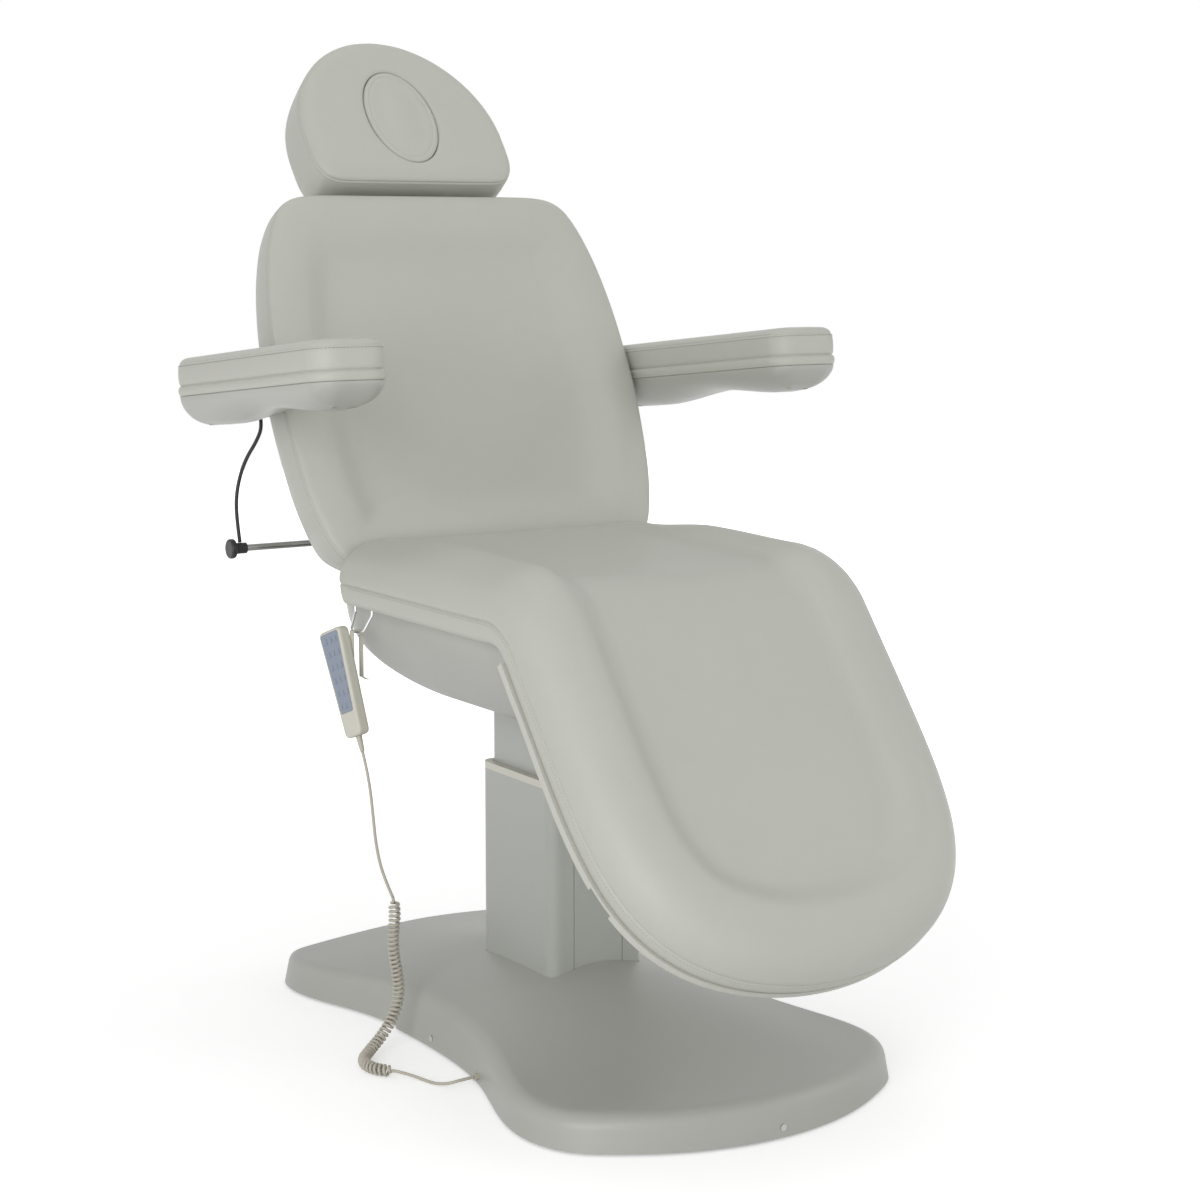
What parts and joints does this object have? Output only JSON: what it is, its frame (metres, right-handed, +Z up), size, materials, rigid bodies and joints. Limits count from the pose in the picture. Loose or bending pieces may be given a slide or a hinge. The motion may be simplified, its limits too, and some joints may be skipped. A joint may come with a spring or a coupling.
{
  "type": "electric treatment chair",
  "caption": "Upholstered treatment chair on a lifting column: reclining back, raising leg rest, tilting headrest with face plug, hinged armrests and a corded handset.",
  "frame": {"origin": "on the floor, under the middle of the chair's box without its cord", "axes": "+Z up, -Y towards the sitter's feet, +X to the sitter's left"},
  "size_m": [0.943, 1.3915, 1.5764],
  "materials": {
    "vinyl": "soft satin grain",
    "cover_plastic": "fine texture",
    "column_paint": "satin",
    "ivory_plastic": "satin",
    "frame_paint": "satin",
    "plywood": "painted",
    "steel": "plain",
    "chrome_wire": "bright",
    "drive_plastic": "plain",
    "dark_plastic": "plain",
    "black_cord": "matte",
    "foot_rubber": "matte",
    "keypad_film": "film",
    "cord_plastic": "satin"
  },
  "bodies": {
    "base": {"base_frame": "frame_paint", "base_feet": "foot_rubber", "base_cover_front": "cover_plastic", "base_cover_rear": "cover_plastic", "base_cover_screws": "steel", "cord_gland": "cord_plastic", "mains_inlet": "dark_plastic", "control_box": "dark_plastic", "column_outer": "column_paint", "column_trim": "ivory_plastic", "lift_actuator": "drive_plastic", "handset_cord_lower": "cord_plastic", "handset_cord_curl": "cord_plastic"},
    "carriage": {"column_inner": "column_paint", "column_glide": "ivory_plastic", "lift_spindle": "steel", "seat_frame": "frame_paint", "seat_board": "plywood", "seat_cushion": "vinyl", "knee_cushion": "vinyl", "belly_cover": "cover_plastic", "knee_hinge_pin": "steel", "back_hinge_pin": "steel", "back_actuator": "drive_plastic", "leg_actuator": "drive_plastic", "handset_hook": "chrome_wire"},
    "back": {"back_frame": "frame_paint", "back_board": "plywood", "back_cushion": "vinyl", "headrest_guides": "frame_paint", "arm_bracket_left": "frame_paint", "arm_bracket_right": "frame_paint", "roll_rod": "chrome_wire", "roll_disc_left": "dark_plastic", "roll_disc_right": "dark_plastic", "roll_cord_left": "black_cord", "roll_cord_right": "black_cord"},
    "headrest_slide": {"headrest_bracket": "frame_paint"},
    "headrest": {"headrest_frame": "frame_paint", "headrest_board": "plywood", "headrest_cushion": "vinyl"},
    "plug": {"face_plug": "vinyl"},
    "arm_left": {"arm_pad_left": "vinyl", "arm_rim_left": "vinyl", "arm_shell_left": "cover_plastic"},
    "arm_right": {"arm_pad_right": "vinyl", "arm_rim_right": "vinyl", "arm_shell_right": "cover_plastic"},
    "leg": {"leg_frame": "frame_paint", "leg_board": "plywood", "leg_cushion": "vinyl"},
    "back_rod": {"back_actuator_rod": "steel"},
    "leg_rod": {"leg_actuator_rod": "steel"},
    "handset": {"handset_case_front": "ivory_plastic", "handset_case_rear": "ivory_plastic", "handset_keypad": "keypad_film", "handset_clip": "ivory_plastic", "strain_relief": "cord_plastic", "handset_cord_upper": "cord_plastic"}
  },
  "joints": [
    {"name": "lift", "type": "slide", "parent": "base", "child": "carriage", "axis": [0, 0, 1], "range_m": [-0.09, 0.17], "deforming": ["handset_cord_curl"]},
    {"name": "back_recline", "type": "hinge", "parent": "carriage", "child": "back", "pos_m": [0, 0.2646, 0.696], "axis": [-1, 0, 0], "range_deg": [0, 66]},
    {"name": "leg_raise", "type": "hinge", "parent": "carriage", "child": "leg", "pos_m": [0, -0.2614, 0.63], "axis": [-1, 0, 0], "range_deg": [0, 51], "deforming": ["knee_cushion"]},
    {"name": "headrest_height", "type": "slide", "parent": "back", "child": "headrest_slide", "axis": [0, 0.4035, 0.915], "range_m": [0, 0.06]},
    {"name": "headrest_tilt", "type": "hinge", "parent": "headrest_slide", "child": "headrest", "pos_m": [0, 0.53769, 1.27504], "axis": [1, 0, 0], "range_deg": [-35, 5]},
    {"name": "face_plug_out", "type": "slide", "parent": "headrest", "child": "plug", "axis": [0, -0.7986, 0.6018], "range_m": [0, 0.09]},
    {"name": "arm_left_raise", "type": "hinge", "parent": "back", "child": "arm_left", "pos_m": [0, 0.39696, 0.99611], "axis": [-1, 0, 0], "range_deg": [0, 95]},
    {"name": "arm_right_raise", "type": "hinge", "parent": "back", "child": "arm_right", "pos_m": [0, 0.39696, 0.99611], "axis": [-1, 0, 0], "range_deg": [0, 95]},
    {"name": "back_actuator_stroke", "type": "slide", "parent": "carriage", "child": "back_rod", "axis": [0, -1, 0], "range_m": [0, 0.0875]},
    {"name": "leg_actuator_stroke", "type": "slide", "parent": "carriage", "child": "leg_rod", "axis": [0, -1, 0], "range_m": [0, 0.0606]},
    {"name": "handset_swing", "type": "hinge", "parent": "carriage", "child": "handset", "pos_m": [-0.30228, 0.12884, 0.6515], "axis": [-0.1736, 0.9848, 0], "range_deg": [0, 25]}
  ],
  "couplings": [
    {"joint": "back_actuator_stroke", "follows": "back_recline", "m_per_rad": 0.07565},
    {"joint": "leg_actuator_stroke", "follows": "leg_raise", "m_per_rad": 0.067712}
  ]
}
